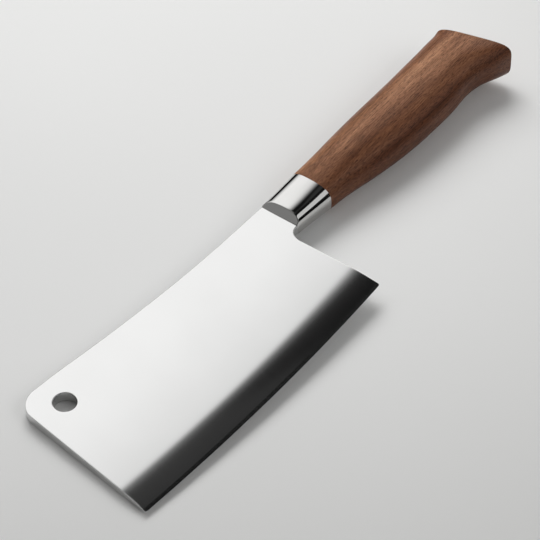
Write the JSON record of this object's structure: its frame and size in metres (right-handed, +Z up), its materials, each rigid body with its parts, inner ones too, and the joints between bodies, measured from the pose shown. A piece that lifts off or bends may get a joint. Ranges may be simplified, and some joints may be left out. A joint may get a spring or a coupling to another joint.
{
  "type": "meat cleaver",
  "caption": "Meat cleaver with a broad flat blade, a hanging hole near the front, a polished bolster collar and a smooth rivetless walnut handle.",
  "frame": {"origin": "middle of the underside of the bounding box, on the surface that the cleaver lies on", "axes": "+X from the blade towards the handle's butt, +Y from the cutting edge towards the spine, +Z up, out of the blade's left face"},
  "size_m": [0.3056, 0.0828, 0.0229],
  "materials": {
    "blade_steel": "satin, ground fine along the blade's depth, darker over the convex grind",
    "bolster_steel": "polished",
    "walnut": "oiled, with fine dark pores along the grain",
    "pin_steel": "plain, hidden",
    "glue": "cured resin, hidden"
  },
  "bodies": {
    "root": {"blade_with_tang": "blade_steel", "bolster": "bolster_steel", "left_handle_half": "walnut", "right_handle_half": "walnut", "tang_pins": "pin_steel", "tang_glue": "glue"}
  },
  "joints": []
}
